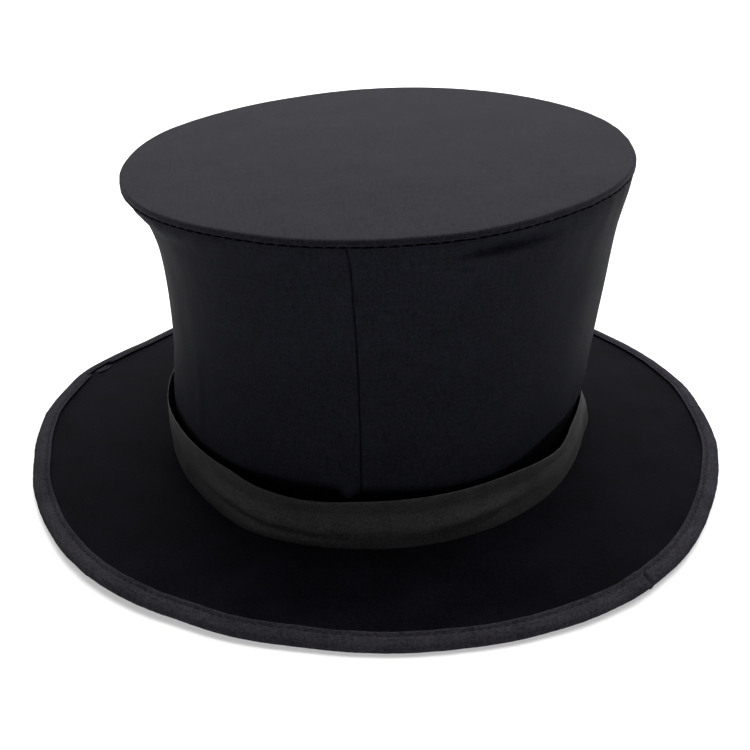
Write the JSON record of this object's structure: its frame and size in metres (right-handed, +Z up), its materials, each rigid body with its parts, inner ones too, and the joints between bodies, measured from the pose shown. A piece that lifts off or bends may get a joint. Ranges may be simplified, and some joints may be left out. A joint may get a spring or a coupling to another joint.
{
  "type": "collapsible top hat",
  "caption": "Black collapsible top hat: flat oval brim with a taped edge, ribbon band, cloth crown on a spring frame that folds flat.",
  "frame": {"origin": "on the surface the hat stands on, under the middle of the brim", "axes": "+Z up through the crown, +Y along the brim's length, -Y the side with the crown's seam, +X across, to the side where the tip stands higher"},
  "size_m": [0.296, 0.328, 0.129],
  "materials": {
    "velvet": "short black pile",
    "under_cloth": "matt black cloth",
    "binding_satin": "black satin tape",
    "crown_cloth": "black plain weave",
    "tip_cloth": "black plain weave",
    "ribbon": "black satin ribbon",
    "lining": "black lining satin",
    "sweatband_leather": "smooth brown leather",
    "buckram": "stiffened open weave",
    "spring_steel": "rolled spring steel",
    "black_steel": "blackened sheet steel",
    "bright_steel": "plain bright steel"
  },
  "bodies": {
    "root": {"brim_board": "buckram", "brim_wire": "spring_steel", "brim_top_cover": "velvet", "brim_under_cover": "under_cloth", "brim_binding": "binding_satin", "binding_lap_left": "binding_satin", "binding_lap_right": "binding_satin", "crown_wall": "crown_cloth", "hat_band": "ribbon", "base_hoop": "spring_steel", "sweatband": "sweatband_leather", "lower_bracket_left": "black_steel", "lower_pin_left": "bright_steel", "lower_bracket_right": "black_steel", "lower_pin_right": "bright_steel", "lower_bracket_front": "black_steel", "lower_pin_front": "bright_steel", "lower_bracket_back": "black_steel", "lower_pin_back": "bright_steel"},
    "lower_arm_left": {"lower_arm_left": "spring_steel", "knuckle_spring_left": "bright_steel"},
    "upper_arm_left": {"upper_arm_left": "spring_steel", "knuckle_pin_left": "bright_steel"},
    "lower_arm_right": {"lower_arm_right": "spring_steel", "knuckle_spring_right": "bright_steel"},
    "upper_arm_right": {"upper_arm_right": "spring_steel", "knuckle_pin_right": "bright_steel"},
    "lower_arm_front": {"lower_arm_front": "spring_steel", "knuckle_spring_front": "bright_steel"},
    "upper_arm_front": {"upper_arm_front": "spring_steel", "knuckle_pin_front": "bright_steel"},
    "lower_arm_back": {"lower_arm_back": "spring_steel", "knuckle_spring_back": "bright_steel"},
    "upper_arm_back": {"upper_arm_back": "spring_steel", "knuckle_pin_back": "bright_steel"},
    "tip": {"tip_cover": "tip_cloth", "tip_hoop": "spring_steel", "tip_board": "buckram", "tip_lining": "lining", "upper_bracket_left": "black_steel", "upper_pin_left": "bright_steel", "tip_rivet_left_inner": "bright_steel", "tip_rivet_left_outer": "bright_steel", "upper_bracket_right": "black_steel", "upper_pin_right": "bright_steel", "tip_rivet_right_inner": "bright_steel", "tip_rivet_right_outer": "bright_steel", "upper_bracket_front": "black_steel", "upper_pin_front": "bright_steel", "tip_rivet_front_inner": "bright_steel", "tip_rivet_front_outer": "bright_steel", "upper_bracket_back": "black_steel", "upper_pin_back": "bright_steel", "tip_rivet_back_inner": "bright_steel", "tip_rivet_back_outer": "bright_steel"}
  },
  "joints": [
    {"name": "fold", "type": "hinge", "parent": "root", "child": "lower_arm_left", "pos_m": [-0.079, 0, 0.026], "axis": [0, 1, 0], "range_deg": [0, 84], "stiffness_Nm_per_rad": 0.05, "springref_deg": -34.38, "deforming": ["crown_wall"]},
    {"name": "knuckle_left", "type": "hinge", "parent": "lower_arm_left", "child": "upper_arm_left", "pos_m": [-0.08201, 0, 0.069], "axis": [0, 1, 0], "range_deg": [-168, 0]},
    {"name": "tip_hinge", "type": "hinge", "parent": "upper_arm_left", "child": "tip", "pos_m": [-0.079, 0, 0.11199], "axis": [0, 1, 0], "range_deg": [0, 84]},
    {"name": "lower_hinge_right", "type": "hinge", "parent": "root", "child": "lower_arm_right", "pos_m": [0.079, 0, 0.026], "axis": [0, -1, 0], "range_deg": [0, 84]},
    {"name": "knuckle_right", "type": "hinge", "parent": "lower_arm_right", "child": "upper_arm_right", "pos_m": [0.08201, 0, 0.069], "axis": [0, -1, 0], "range_deg": [-168, 0]},
    {"name": "lower_hinge_front", "type": "hinge", "parent": "root", "child": "lower_arm_front", "pos_m": [0, -0.095, 0.026], "axis": [-1, 0, 0], "range_deg": [0, 84]},
    {"name": "knuckle_front", "type": "hinge", "parent": "lower_arm_front", "child": "upper_arm_front", "pos_m": [0, -0.09801, 0.069], "axis": [-1, 0, 0], "range_deg": [-168, 0]},
    {"name": "lower_hinge_back", "type": "hinge", "parent": "root", "child": "lower_arm_back", "pos_m": [0, 0.095, 0.026], "axis": [1, 0, 0], "range_deg": [0, 84]},
    {"name": "knuckle_back", "type": "hinge", "parent": "lower_arm_back", "child": "upper_arm_back", "pos_m": [0, 0.09801, 0.069], "axis": [1, 0, 0], "range_deg": [-168, 0]}
  ],
  "couplings": [
    {"joint": "knuckle_left", "follows": "fold", "ratio": -2},
    {"joint": "tip_hinge", "follows": "fold", "ratio": 1},
    {"joint": "knuckle_right", "follows": "fold", "ratio": -2},
    {"joint": "lower_hinge_right", "follows": "fold", "ratio": 1},
    {"joint": "knuckle_front", "follows": "fold", "ratio": -2},
    {"joint": "lower_hinge_front", "follows": "fold", "ratio": 1},
    {"joint": "knuckle_back", "follows": "fold", "ratio": -2},
    {"joint": "lower_hinge_back", "follows": "fold", "ratio": 1}
  ]
}
